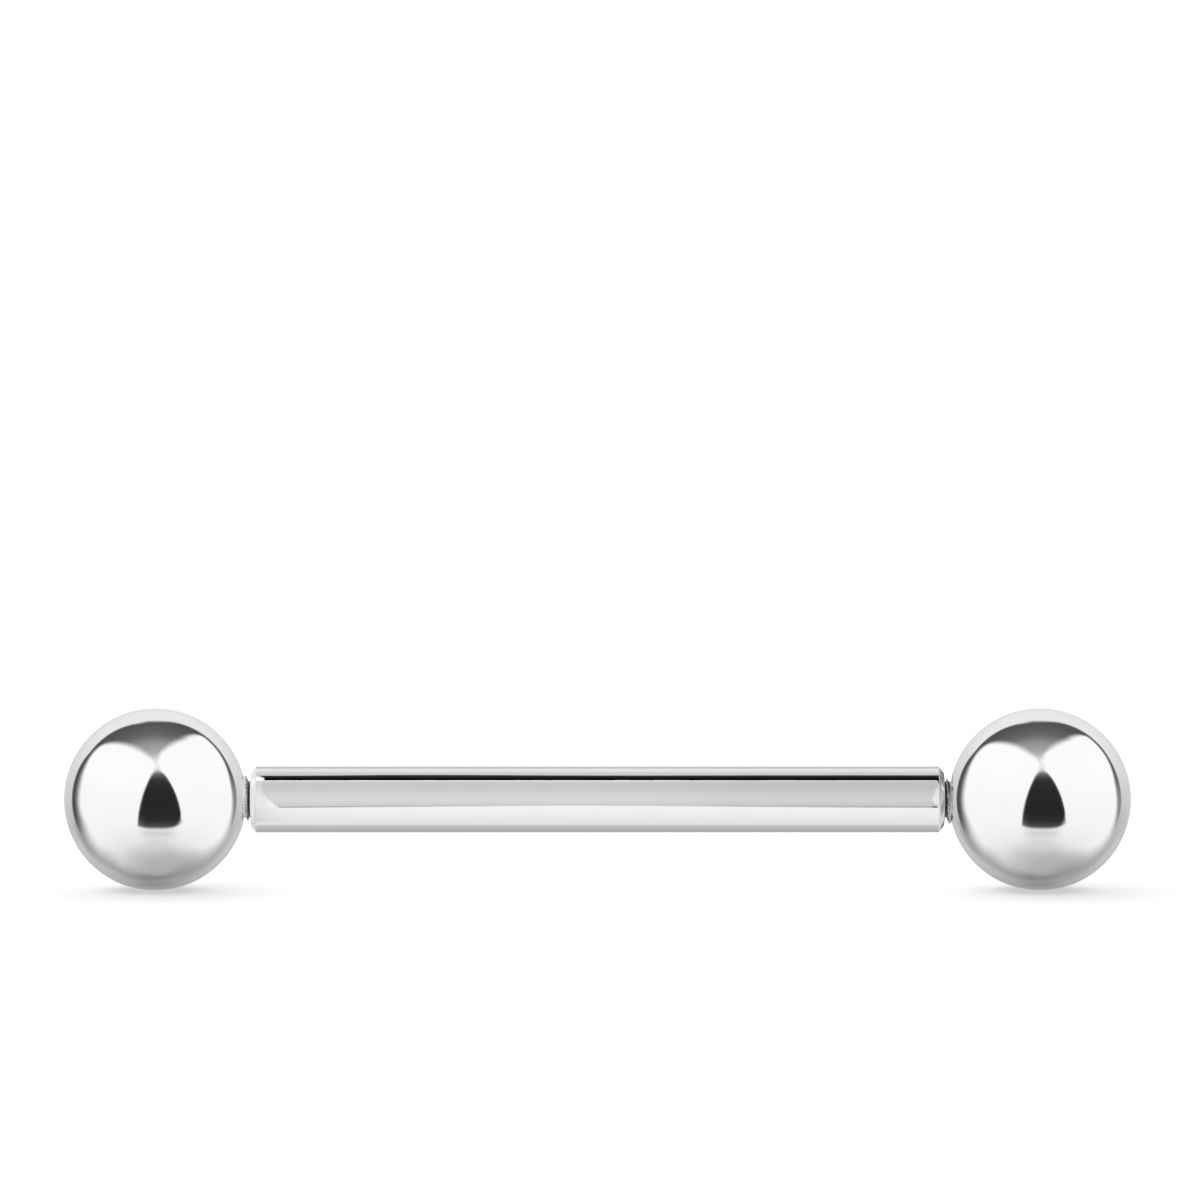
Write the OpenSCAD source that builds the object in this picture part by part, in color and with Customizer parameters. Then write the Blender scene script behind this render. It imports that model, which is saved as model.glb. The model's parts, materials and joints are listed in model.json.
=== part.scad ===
// A straight barbell for a piercing: a round bar with a thread at each end, and a ball screwed on each thread.
// The bar runs along X. It lies on its two balls, which touch the plane z = 0. All sizes are in millimetres.

/* [Bar] */
// Diameter of the bar, which is 14 gauge wire
bar_d = 1.63; // [1.5:0.01:2.1]
// Length of the bar from one shoulder to the other
bar_len = 17.12; // [10:0.02:25]
// Length of the bevel at each end of the bar, along its axis
bevel_len = 0.12; // [0.05:0.01:0.3]
// Depth of that bevel, towards the axis
bevel_drop = 0.16; // [0.05:0.01:0.18]

/* [Thread] */
// Outside diameter of the thread, which is M1.2
thread_d = 1.2; // [1:0.05:1.2]
// Distance from one turn of the thread to the next
thread_pitch = 0.25; // [0.2:0.05:0.3]
// Number of whole turns
thread_turns = 8; // [5:1:9]
// Plain neck between the shoulder and the first turn
neck_len = 0.06; // [0.02:0.02:0.2]

/* [Balls] */
// Diameter of each ball
ball_d = 4.5; // [4:0.1:8]
// Gap between the shoulder and the nearest point of the ball
ball_gap = 0.12; // [0.02:0.02:0.3]
// Clearance between the thread and the wall of its hole, on the radius
hole_clearance = 0.03; // [0.02:0.01:0.08]
// Room left in the hole past the end of the thread
hole_spare = 0.15; // [0.05:0.05:0.3]
// Width of the bevelled rim round the mouth of the hole
rim_w = 0.03; // [0.02:0.01:0.15]

/* [Hidden] */
steel = "silver";
$fn = 96;

bar_r = bar_d / 2;
ball_r = ball_d / 2;
shoulder_x = bar_len / 2;
ball_x = shoulder_x + ball_gap + ball_r;
seam_turn = 183.75; // keeps the seam of each sphere away from the point that the ball rests on

// One turn of a metric thread, seen in section from the root up over the crest and back to the root
share_along = 0; // column: distance along the axis, as a share of the pitch
share_up = 1;    // column: height above the root, as a share of the thread's depth
thread_form = [
    [0, 0],
    [5 / 16, 1],
    [7 / 16, 1],
    [12 / 16, 0],
];
depth_of_pitch = 0.6134;  // a metric thread's depth, as a share of its pitch
thread_depth = depth_of_pitch * thread_pitch;
root_r = thread_d / 2 - thread_depth;
thread_sides = 20;
tip_len = 0.1;     // bevelled point past the last turn
tip_drop = 0.12;   // how much that point narrows, on the radius
root_sunk = 0.3;   // how far the thread's core is sunk into the bar
drill_angle = 118; // point of the drill that makes the hole
overcut = 1;       // how far the drill starts outside the ball

form_lines = len(thread_form);
thread_lines = form_lines * thread_turns;
thread_top = neck_len + thread_pitch * (thread_turns + thread_form[form_lines - 1][share_along]);
thread_len = thread_top + tip_len;

// Point number `line` of the thread's section, counted from the shoulder, at step `side` round the axis
function thread_point(line, side) =
    let (
        form = thread_form[line % form_lines],
        turns_up = floor(line / form_lines) + form[share_along] + side / thread_sides,
        r = root_r + thread_depth * form[share_up],
        angle = 360 * side / thread_sides
    )
    [r * cos(angle), r * sin(angle), neck_len + thread_pitch * turns_up];

function ring_points(r, z) =
    [for (side = [0 : thread_sides - 1])
        let (angle = 360 * side / thread_sides)
        [r * cos(angle), r * sin(angle), z]];

// Triangles that share their first corner
function fan(corners) = [for (i = [1 : len(corners) - 2]) [corners[0], corners[i], corners[i + 1]]];

// A screw thread that rises along +Z from the shoulder at z = 0. The line of points that starts at the foot winds
// up like a staircase, so the last step of each turn meets the first step of the next one.
module thread() {
    body_count = thread_sides * thread_lines;
    foot = body_count + form_lines;
    tip = foot + thread_sides;
    points = concat(
        [for (line = [0 : thread_lines - 1], side = [0 : thread_sides - 1]) thread_point(line, side)],
        [for (line = [thread_lines : thread_lines + form_lines - 1]) thread_point(line, 0)],
        ring_points(root_r, -root_sunk),
        ring_points(root_r - tip_drop, thread_len)
    );
    last = thread_sides - 1;
    // Index of a body point; a step past the last side is the first side one turn up
    function at(line, side) =
        side > last ? at(line + form_lines, 0)
        : line < thread_lines ? line * thread_sides + side
        : body_count + line - thread_lines;
    walls = [for (line = [0 : thread_lines - 2], side = [0 : last])
        each fan([at(line, side), at(line + 1, side), at(line + 1, side + 1), at(line, side + 1)])];
    lower_skirt = [for (side = [0 : last - 1])
        each fan([foot + side, at(0, side), at(0, side + 1), foot + side + 1])];
    run_in = fan(concat(
        [at(0, last)],
        [for (line = [form_lines : -1 : 0]) at(line, 0)],
        [foot, foot + last]
    ));
    top = thread_lines - 1;
    upper_skirt = [for (side = [1 : last])
        each fan([at(top, side), tip + side, tip + (side + 1) % thread_sides, at(top, side + 1)])];
    run_out = fan(concat(
        [at(top, 1)],
        [for (line = [top : top + form_lines]) at(line, 0)],
        [tip, tip + 1]
    ));
    foot_face = fan([for (side = [0 : last]) foot + side]);
    tip_face = fan([for (side = [last : -1 : 0]) tip + side]);
    polyhedron(
        points,
        concat(walls, lower_skirt, run_in, upper_skirt, run_out, foot_face, tip_face),
        convexity = 10
    );
}

// The bar without its threads, along Z and centred on the origin
module shank() {
    rotate_extrude()
        polygon([
            [0, -shoulder_x],
            [bar_r - bevel_drop, -shoulder_x],
            [bar_r, bevel_len - shoulder_x],
            [bar_r, shoulder_x - bevel_len],
            [bar_r - bevel_drop, shoulder_x],
            [0, shoulder_x],
        ]);
}

// A ball centred on the origin, with its hole opening towards -Z
module ball() {
    hole_r = thread_d / 2 + hole_clearance;
    hole_floor = thread_len - ball_gap + hole_spare - ball_r;
    drill_point = hole_r / tan(drill_angle / 2);
    rim_r = hole_r + rim_w;
    rim_z = -sqrt(ball_r * ball_r - rim_r * rim_r);
    drill_start = -ball_r - overcut;
    difference() {
        rotate([0, 0, seam_turn]) sphere(r = ball_r);
        translate([0, 0, drill_start]) cylinder(r = hole_r, h = hole_floor - drill_start);
        translate([0, 0, hole_floor]) cylinder(r1 = hole_r, r2 = 0, h = drill_point);
        translate([0, 0, rim_z - rim_w]) cylinder(r1 = rim_r + rim_w, r2 = hole_r, h = 2 * rim_w);
    }
}

// Turns a piece that was made along Z to lie along X, at the height of the balls' centres
module lay_along_x() translate([0, 0, ball_r]) rotate([0, 90, 0]) children();

module bar() {
    color(steel) lay_along_x() {
        shank();
        for (turn = [0, 180]) rotate([turn, 0, 0]) translate([0, 0, shoulder_x]) thread();
    }
}

module right_ball() {
    color(steel) lay_along_x() translate([0, 0, ball_x]) ball();
}

module left_ball() {
    color(steel) lay_along_x() rotate([180, 0, 0]) translate([0, 0, ball_x]) ball();
}

bar();
left_ball();
right_ball();
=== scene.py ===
# %% [markdown]
# A straight barbell is three turned pieces of surgical steel: a round bar with a thread at each end, and
# two balls that screw on. Everything a buyer sees is a mirror finish, so this lesson has two halves. The
# first builds a studio that is worth reflecting, and the second turns the three pieces and polishes them.
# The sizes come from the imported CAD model, which is loaded first and never moved.

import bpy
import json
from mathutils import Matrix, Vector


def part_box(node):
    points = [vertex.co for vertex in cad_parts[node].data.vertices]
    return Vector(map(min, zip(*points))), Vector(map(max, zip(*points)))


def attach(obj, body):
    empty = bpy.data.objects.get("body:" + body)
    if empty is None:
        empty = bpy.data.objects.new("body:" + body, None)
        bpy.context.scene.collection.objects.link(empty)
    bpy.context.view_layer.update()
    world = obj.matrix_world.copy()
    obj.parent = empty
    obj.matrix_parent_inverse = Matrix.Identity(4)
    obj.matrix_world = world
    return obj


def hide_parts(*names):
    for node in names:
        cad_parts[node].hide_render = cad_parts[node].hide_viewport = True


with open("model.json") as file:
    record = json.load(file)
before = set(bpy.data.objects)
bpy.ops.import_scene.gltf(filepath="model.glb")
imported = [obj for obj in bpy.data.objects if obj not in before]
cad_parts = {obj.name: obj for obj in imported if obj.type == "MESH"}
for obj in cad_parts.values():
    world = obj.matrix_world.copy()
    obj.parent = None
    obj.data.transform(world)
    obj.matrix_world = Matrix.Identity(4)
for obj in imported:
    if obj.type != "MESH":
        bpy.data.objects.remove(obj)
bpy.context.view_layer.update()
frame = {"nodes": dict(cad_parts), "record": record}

# %% What the script is made with
import json
import math

import bmesh
import bpy
import numpy as np
from mathutils import Vector

MM = 0.001
print("lengths are in metres, and a millimetre is", MM)

# %% [markdown]
# The barbell lies on its balls, so its axis runs along X at the height of a ball's radius. The record's
# mount gives that height, the bar's radius and the length between its bevels, and the boxes of the nodes
# give the places of the balls and of the thread's tip. Reading the sizes here, rather than typing them
# again, keeps the looks in step with the CAD model. What isn't in the frame, such as the bevel, is
# repeated where it is needed.

# %% Sizes read from the frame
BEVEL_LEN = 0.12 * MM
BEVEL_DROP = 0.16 * MM

axis_mount = frame["record"]["mounts"][0]
ball_r = axis_mount["pos_m"][2]
ball_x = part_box("right_ball")[1].x - ball_r
bar_r = axis_mount["dims"]["r_mm"] * MM
shoulder_x = axis_mount["dims"]["length_mm"] * MM / 2 + BEVEL_LEN
thread_end_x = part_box("bar")[1].x
print(f"ball {2000 * ball_r:.2f} mm across at x = {1000 * ball_x:.2f} mm")
print(f"bar {2000 * bar_r:.2f} mm thick, {2000 * shoulder_x:.2f} mm between its shoulders")

# %% [markdown]
# The photograph is a catalogue picture, taken with a long lens from a little above the table, so the near
# and far sides of a ball look the same size. A long lens at the right distance does the same here. The
# scale of the picture and the place of the barbell in it are measured once, in pixels, and turned into a
# distance and a point to aim at. The colours need no mood, so the view is set to plain standard.

# %% Camera
PICTURE_PX = 1200
PX_PER_MM = 40.44
BARBELL_MIDDLE_PX = (597.5, 799.45)
LENS_MM = 200
SENSOR_MM = 36
CAMERA_UP_DEG = 5

camera_up = math.radians(CAMERA_UP_DEG)
to_camera = Vector((0, -math.cos(camera_up), math.sin(camera_up)))
screen_up = Vector((0, math.sin(camera_up), math.cos(camera_up)))
middle = Vector((0, 0, ball_r))
distance = PICTURE_PX / PX_PER_MM * MM * LENS_MM / SENSOR_MM
aim_right = (PICTURE_PX / 2 - BARBELL_MIDDLE_PX[0]) / PX_PER_MM * MM
aim_up = (BARBELL_MIDDLE_PX[1] - PICTURE_PX / 2) / PX_PER_MM * MM

camera = bpy.data.objects.new("camera", bpy.data.cameras.new("long_lens"))
bpy.context.scene.collection.objects.link(camera)
camera.data.lens = LENS_MM
camera.data.sensor_width = SENSOR_MM
camera.data.clip_start = 10 * MM
camera.data.clip_end = 20
camera.location = middle + distance * to_camera
aim = middle + Vector((aim_right, 0, 0)) + aim_up * screen_up
camera.rotation_mode = "QUATERNION"
camera.rotation_quaternion = (aim - camera.location).to_track_quat("-Z", "Y")
bpy.context.scene.camera = camera
bpy.context.scene.view_settings.view_transform = "Standard"
print(f"camera {1000 * distance:.1f} mm away, {CAMERA_UP_DEG} degrees above the table")

# %% [markdown]
# The background of such a picture is a lit white table. It is pure white, and only a small soft shadow
# under each ball shows. A white plane under lamps could give that, but then the lamps would have to reach
# exactly white everywhere. The table here glows by itself, takes the rest of its light from lamps that
# the balls can shade, and comes out a little brighter than white. That is how such tables are lit, and it
# swallows the faint far part of each shadow.

# %% A new material
def shader_tree(name):
    """A new material with an empty node tree, its nodes, its links and its output."""
    material = bpy.data.materials.new(name)
    material.use_nodes = True
    tree = material.node_tree
    tree.nodes.clear()
    return material, tree.nodes, tree.links, tree.nodes.new("ShaderNodeOutputMaterial")


print("materials so far:", len(bpy.data.materials))

# %% Light table
TABLE_SIZE = 4
TABLE_WHITE = 0.8
TABLE_GLOW = 0.60


def light_table_material():
    """A white sheet that is lit from above and glows from below."""
    material, nodes, links, output = shader_tree("light_table_white")
    sheet = nodes.new("ShaderNodeBsdfDiffuse")
    sheet.inputs["Color"].default_value = (TABLE_WHITE, TABLE_WHITE, TABLE_WHITE, 1)
    glow = nodes.new("ShaderNodeEmission")
    glow.inputs["Strength"].default_value = TABLE_GLOW
    both = nodes.new("ShaderNodeAddShader")
    links.new(sheet.outputs[0], both.inputs[0])
    links.new(glow.outputs[0], both.inputs[1])
    links.new(both.outputs[0], output.inputs["Surface"])
    return material


bpy.ops.mesh.primitive_plane_add(size=TABLE_SIZE, location=(0, 0, 0))
table = bpy.context.object
table.name = "light_table"
table.data.materials.append(light_table_material())
table.visible_glossy = False
print(f"light table {TABLE_SIZE} m wide, at z = 0")

# %% [markdown]
# A lamp straight above would lay a dark disc as wide as the ball under it. The shadow in the photograph
# is darkest where the ball touches the table and fades away from there, which is what light from all
# round does: it reaches under the ball from every side. So a ring of wide sun lamps shines down at half
# height. It is a little stronger from behind and from the left, which pushes the shadow a little to the
# front and the right. Sun lamps light the whole table alike. The steel doesn't need them, because
# polished metal shows its surroundings and not a lamp's shading.

# %% Ring of lamps
LAMP_COUNT = 8
LAMP_UP_DEG = 45
LAMP_WIDTH_DEG = 30
LAMPS_ON_TABLE = 0.55
MORE_FROM_BEHIND = 0.35
MORE_FROM_LEFT = 0.22

lamps = []
for number in range(LAMP_COUNT):
    turn = 2 * math.pi * number / LAMP_COUNT
    share = (1 + MORE_FROM_BEHIND * math.cos(turn) + MORE_FROM_LEFT * math.sin(turn)) / LAMP_COUNT
    name = f"lamp_{number + 1}"
    lamp = bpy.data.objects.new(name, bpy.data.lights.new(name, "SUN"))
    bpy.context.scene.collection.objects.link(lamp)
    lamp.data.angle = math.radians(LAMP_WIDTH_DEG)
    on_table = LAMPS_ON_TABLE * share * math.pi / TABLE_WHITE
    lamp.data.energy = on_table / math.sin(math.radians(LAMP_UP_DEG))
    lamp.rotation_euler = (math.radians(LAMP_UP_DEG - 90), 0, turn)
    lamp.visible_glossy = False
    lamps.append(lamp)
print(f"{LAMP_COUNT} lamps, {LAMP_UP_DEG} degrees up and {LAMP_WIDTH_DEG} degrees wide")

# %% [markdown]
# The camera looks over the far edge of the table, so the top of the picture shows what is behind it. A
# white wall could stand there. A white world is simpler, and it has no edge that could show. It is hidden
# from the steel and lights nothing, so it changes neither the reflections nor the shadows.

# %% White world
WORLD_WHITE = 1.2

world = bpy.data.worlds.new("white_room")
bpy.context.scene.world = world
world.use_nodes = True
world.node_tree.nodes["Background"].inputs["Color"].default_value = (1, 1, 1, 1)
world.node_tree.nodes["Background"].inputs["Strength"].default_value = WORLD_WHITE
world.cycles_visibility.glossy = False
world.cycles_visibility.diffuse = False
print("the camera sees white behind the table")

# %% [markdown]
# Polished steel has almost no colour of its own: each point of it shows the spot of the studio that it
# faces. The balls in the photograph show a light tent in a dim room. Two big white panels stand left and
# right, a paler one stands behind, and a black card in front gives the balls their dark core. Real lamps
# and cards could stand there, but here the tent is a far sphere of mesh whose corners carry the grey of
# what hangs in that direction. It is quick to render, and each edge can be as soft as it should be. A few
# helpers draw all that hangs in a tent: a soft step for an edge, a hump for a patch, a smooth curve for
# an edge or a grey that changes on its way, and a cover that hangs one grey in front of another. Blender
# counts in light, and a picture in the greys of a screen. So the greys are chosen as a screen shows them,
# and are turned into light at the end.

# %% Soft edges and patches
def soft_step(low, high, value):
    """0 at low and beyond, 1 at high and beyond, and a smooth change between. Low may be above high."""
    share = np.clip((value - low) / (high - low), 0, 1)
    return share * share * (3 - 2 * share)


def hump(middle_at, width, value):
    """1 in the middle, falling smoothly to nearly 0 at twice the width to either side."""
    return np.exp(-((value - middle_at) / width) ** 2)


def cover(under, over, mask):
    """Hangs one grey in front of another where the mask is 1."""
    return under + (over - under) * mask


print("a soft step from 0 to 1, at a quarter of its way:", float(soft_step(0, 1, 0.25)))

# %% A smooth curve through a few points
def smooth_curve(value, places, heights):
    """The height at each value of a smooth curve through a few points. It is flat outside them."""
    places = np.asarray(places, float)
    heights = np.asarray(heights, float)
    slopes = np.gradient(heights, places)
    slopes[[0, -1]] = 0
    value = np.clip(value, places[0], places[-1])
    cell = np.clip(np.searchsorted(places, value, side="right") - 1, 0, len(places) - 2)
    width = places[cell + 1] - places[cell]
    share = (value - places[cell]) / width
    rise = share * share * (3 - 2 * share)
    bend = slopes[cell] * (1 - share) - slopes[cell + 1] * share
    return heights[cell] + (heights[cell + 1] - heights[cell]) * rise + share * (1 - share) * width * bend


print("halfway along a curve from 0 to 1:", float(smooth_curve(0.5, [0, 1], [0, 1])))

# %% The light of a grey
def light_of_grey(grey):
    """The light that shows as this grey on a screen, from 0 to 1, by the standard curve of screens."""
    grey = np.clip(grey, 0, 1)
    return np.where(grey <= 0.04045, grey / 12.92, ((grey + 0.055) / 1.055) ** 2.4)


print("light of a middle grey:", round(float(light_of_grey(0.5)), 3))

# %% [markdown]
# A direction in the balls' tent has two angles, both in degrees: side runs from the camera round to the
# right, and up is the height above the line of sight. The grid has close lines where edges run, in front
# and in the dark gaps beside the back panel, and wide ones elsewhere.

# %% Directions of the balls' tent
# Bands of lines: first, last, step
SIDE_BANDS = [
    (-180, -150, 2), (-150, -105, 0.75), (-105, -40, 2.5), (-40, 40, 0.5),
    (40, 105, 2.5), (105, 150, 0.75), (150, 180, 2),
]
UP_BANDS = [(-90, -42, 2), (-42, 38, 0.5), (38, 74, 1), (74, 90, 2)]


def lines_at(bands):
    """Places of the lines of a grid, from bands that each end where the next one starts."""
    return np.concatenate([np.arange(*band) for band in bands] + [[bands[-1][1]]])


side_deg, up_deg = np.meshgrid(lines_at(SIDE_BANDS), lines_at(UP_BANDS))
side_rad, up_rad = np.radians(side_deg), np.radians(up_deg)
towards_front = np.cos(up_rad) * np.cos(side_rad)
from_back = 180 - np.abs(side_deg)
on_left = side_deg < 0
print("the balls' tent looks in", side_deg.size, "directions")

# %% [markdown]
# Behind everything is the dim room, darkest at the back and palest near the camera, with a paler patch on
# the right. Where nothing hangs in front of it, the room shows as the dark band over a ball, and as a
# dark gap at each side of the back panel.

# %% The dim room
PALE_PATCH = 0.22

# How far a direction looks to the front, from -1 to 1, and the room's grey there
room = smooth_curve(
    towards_front,
    [-0.65, -0.2, 0, 0.1, 0.2, 0.5, 0.67],
    [0.30, 0.36, 0.41, 0.475, 0.55, 0.69, 0.86],
)
room = room + PALE_PATCH * soft_step(24, 0, up_deg) * soft_step(100, 115, side_deg)
print("greys of the room:", round(float(room.min()), 2), "to", round(float(room.max()), 2))

# %% [markdown]
# The panel at the back and the table below it share one grey, which falls from nearly white at the top to
# a middle grey at the table. Four soft patches change it. It dips low on the table, where the ball stands
# in its own shadow, and also right behind the ball and in a strip on the left. Beside the ball it is
# paler, which gives the ball's rim its faint ring.

# %% Grey of the back panel and the table
FOOT_UP = -61
FOOT_DIP = 0.09
FOOT_DIP_MORE_LEFT = 0.03
BEHIND_BALL_DIP = 0.08
RING_AT = 29
RING_WIDTH = 10
RING_RISE = 0.055
LEFT_STRIP_AT = 47
LEFT_STRIP_WIDTH = 8
LEFT_STRIP_DIP = 0.07

left_of_back = np.where(on_left, soft_step(0, 15, from_back), 0)
below_sight = soft_step(-8, -16, up_deg)
back_grey = smooth_curve(
    up_deg,
    [-90, -76, -62, -50, -30, -12, 5, 45],
    [0.695, 0.68, 0.62, 0.62, 0.68, 0.73, 0.81, 0.91],
)
foot_width = 32 + 12 * left_of_back
foot_height = 7 + 1.5 * left_of_back
foot = hump(0, foot_width, from_back) * hump(FOOT_UP, foot_height, up_deg)
behind_ball = soft_step(16, 3, from_back) * soft_step(-2, -20, up_deg) * soft_step(-58, -40, up_deg)
ring_foot = np.where(on_left, soft_step(-52, -42, up_deg), soft_step(-42, -21, up_deg))
ring = hump(RING_AT, RING_WIDTH, from_back) * below_sight * ring_foot
left_strip = hump(LEFT_STRIP_AT, LEFT_STRIP_WIDTH, from_back) * left_of_back
left_strip = left_strip * below_sight * soft_step(-36, -26, up_deg)

back_grey = back_grey - (FOOT_DIP + FOOT_DIP_MORE_LEFT * left_of_back) * foot
back_grey = back_grey - BEHIND_BALL_DIP * behind_ball + RING_RISE * ring - LEFT_STRIP_DIP * left_strip
print("greys of the back panel:", round(float(back_grey.min()), 2), "to", round(float(back_grey.max()), 2))

# %% [markdown]
# The back panel has a round top, half an ellipse that stands a little higher on the left, and nearly
# straight sides. The table has no edge of its own: it rises out of the dark below the line of sight, as
# the pale sheet of a studio curves up into its back wall.

# %% Outline of the back panel
BACK_TOP_UP = 63
BACK_HALF_WIDTH = 57
BACK_TOP_SOFT = 4
BACK_SIDE_SOFT = 1.8
HIGHER_LEFT = 4
HIGHER_RIGHT = -1
BACK_RIGHT_EDGE = 125.5

higher = np.where(on_left, HIGHER_LEFT, HIGHER_RIGHT) * soft_step(8, 26, from_back)
half_ellipse = np.sqrt(np.clip(1 - (from_back / BACK_HALF_WIDTH) ** 2, 0, 1))
back_top = (BACK_TOP_UP + higher) * half_ellipse
back_left_edge = smooth_curve(up_deg, [18, 38], [130.5, 127.5])
back_edge = np.where(on_left, back_left_edge, BACK_RIGHT_EDGE)
under_top = soft_step(-BACK_TOP_SOFT, BACK_TOP_SOFT, back_top - up_deg)
back_panel = under_top * soft_step(-BACK_SIDE_SOFT, BACK_SIDE_SOFT, np.abs(side_deg) - back_edge)
table_below = soft_step(-6, -28, up_deg)

ball_tent = cover(room, back_grey, back_panel)
ball_tent = cover(ball_tent, back_grey, table_below)
print("the back panel stands", BACK_TOP_UP, "degrees high")

# %% [markdown]
# The side panels are flat, so on the sphere their straight top edges become arcs: high in the middle of
# the panel and low at its ends. One formula gives that arc, from the panel's facing and the height of its
# middle. The panels meet in front, each soft edge the other's complement, so no seam shows below the
# card, and they part a little near their tops. Their lower part curves into the table, gets greyer and
# loses its far edge.

# %% A side panel
PANELS_MEET = 1.5
PANEL_TOP_SOFT = 5
LOWEST_COSINE = 0.02

panels_part = smooth_curve(up_deg, [41, 47, 54, 62], [0, 1.4, 4, 5])
near_soft = smooth_curve(up_deg, [46, 54], [4, 8])


def panel_top(facing, top):
    """How high the straight top edge of a flat panel stands in each direction, in degrees."""
    off = np.clip(np.cos(np.radians(side_deg - facing)), LOWEST_COSINE, 1)
    return np.degrees(np.arctan(np.tan(math.radians(top)) * off))


def side_panel(way, top, far, far_soft):
    """Where a panel hangs that starts in front and runs to the left (-1) or the right (1)."""
    near_edge = soft_step(-near_soft, near_soft, way * (side_deg - PANELS_MEET) - panels_part)
    far_edge = soft_step(-far_soft, far_soft, far - way * side_deg)
    return near_edge * far_edge * soft_step(-PANEL_TOP_SOFT, PANEL_TOP_SOFT, top - up_deg)


print("the panels meet", PANELS_MEET, "degrees right of the camera")

# %% Left panel
LEFT_FACING = -57
LEFT_TOP_UP = 64.5

left_far = smooth_curve(
    up_deg,
    [-60, -54, -48, -38, -30, -20, -8, 12, 22, 36],
    [134, 123, 117, 118.5, 115.5, 112.5, 115.4, 116.3, 118.5, 122.5],
)
left_far_soft = smooth_curve(up_deg, [-60, -42, -24, 0, 12, 30], [50, 22, 13, 9, 9, 5])
left_panel = side_panel(-1, panel_top(LEFT_FACING, LEFT_TOP_UP), left_far, left_far_soft)
print("the left panel ends", round(float(left_far.mean())), "degrees round")

# %% Right panel
RIGHT_FACING = 60
RIGHT_TOP_UP = 70

right_far = smooth_curve(
    up_deg,
    [-60, -45, -26, -12, 0, 12, 24, 36, 48],
    [101, 117, 122, 118, 115, 115.3, 121, 127.5, 134],
)
right_far_soft = smooth_curve(up_deg, [-60, -42, -24, -6, 10], [45, 22, 12, 5, 3.5])
right_bow = smooth_curve(side_deg, [96, 104, 112, 120, 128], [0, 1.2, 2.6, 4.1, 6.5])
right_top = panel_top(RIGHT_FACING, RIGHT_TOP_UP) + right_bow
right_panel = side_panel(1, right_top, right_far, right_far_soft)
print("the right panel ends", round(float(right_far.mean())), "degrees round")

# %% White of the side panels
LOW_RIGHT_DIP = 0.04

panel_white = smooth_curve(up_deg, [-90, -66, -54, -38, 0, 30], [0.695, 0.80, 0.895, 0.94, 0.97, 0.985])
low_right = soft_step(-54, -68, up_deg) * soft_step(-88, -72, up_deg) * soft_step(0, 60, side_deg)
panel_white = panel_white - LOW_RIGHT_DIP * low_right
ball_tent = cover(ball_tent, panel_white, left_panel + right_panel)
print("the panels cover", round(float((left_panel + right_panel).mean()), 2), "of the directions' grid")

# %% [markdown]
# The black card is what makes a ball of steel look solid. It hides the camera, and stands where the two
# side panels meet, narrow at the top and wide at the foot. Each of its sides is close to half a parabola,
# and a thin grey line goes on above its tip, along the seam of the panels. Its lower right corner is the
# softest. Its foot stands on the pale table, which throws a little light on it.

# %% Outline of the black card
CARD_TIP_UP = 36
CARD_SIDE = 2.7
CARD_LEFT_WIDTH = 28
CARD_RIGHT_WIDTH = 35
CARD_HEIGHT = 71
CARD_FOOT_UP = -36.5
FOOT_CURL = 4
FOOT_SOFT = 2.5
LEFT_SOFTER = 1.6
LEFT_POWER = 1.1
SEAM_LEFT = 3.5
SEAM_RIGHT = 1.3 * SEAM_LEFT

from_middle = np.abs(side_deg - CARD_SIDE)
card_foot = CARD_FOOT_UP + FOOT_CURL * (from_middle / CARD_LEFT_WIDTH) ** 3
down_share = np.clip((CARD_TIP_UP - up_deg) / CARD_HEIGHT, 0, 1)
left_edge = CARD_SIDE - np.sqrt(SEAM_LEFT ** 2 + CARD_LEFT_WIDTH ** 2 * down_share ** LEFT_POWER)
right_edge = CARD_SIDE + np.sqrt(SEAM_RIGHT ** 2 + CARD_RIGHT_WIDTH ** 2 * down_share)
right_edge = right_edge - smooth_curve(up_deg, [-33, -30, -27, -21, -15], [3.6, 3.4, 1.8, 0.6, 0])
edge_soft = smooth_curve(up_deg, [20, 40], [1, 3])
right_soft = edge_soft + smooth_curve(up_deg, [-33, -30, -27, -24, -20], [6, 6, 4, 2.2, 0])
card = soft_step(-LEFT_SOFTER * edge_soft, LEFT_SOFTER * edge_soft, side_deg - left_edge)
card = card * soft_step(-right_soft, right_soft, right_edge - side_deg)
card = card * soft_step(-FOOT_SOFT, FOOT_SOFT, up_deg - card_foot) * soft_step(50, 44, up_deg)
print("card:", CARD_LEFT_WIDTH + CARD_RIGHT_WIDTH, "degrees wide at its foot")

# %% Greys of the card and of its foot
LIT_CORNER = 0.13
FOOT_LIGHT_SIDE = 4

card_grey = smooth_curve(
    up_deg,
    [-36, -28, -15, 0, 15, 27, 33, 37, 44],
    [0.30, 0.195, 0.152, 0.155, 0.168, 0.265, 0.47, 0.77, 0.92],
)
card_grey = card_grey + LIT_CORNER * soft_step(-10, -25, side_deg) * soft_step(-12, -32, up_deg)
foot_grey = smooth_curve(up_deg, [-60, -54, -48, -43, -39], [0.80, 0.84, 0.865, 0.82, 0.87])
below_foot = soft_step(38, 12, np.abs(side_deg - FOOT_LIGHT_SIDE))
below_foot = below_foot * soft_step(-66, -50, up_deg) * soft_step(-33, -38, up_deg)
ball_tent = cover(ball_tent, foot_grey, below_foot)
ball_tent = cover(ball_tent, card_grey, card)
print("greys of the tent:", round(float(ball_tent.min()), 2), "to", round(float(ball_tent.max()), 2))

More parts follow.
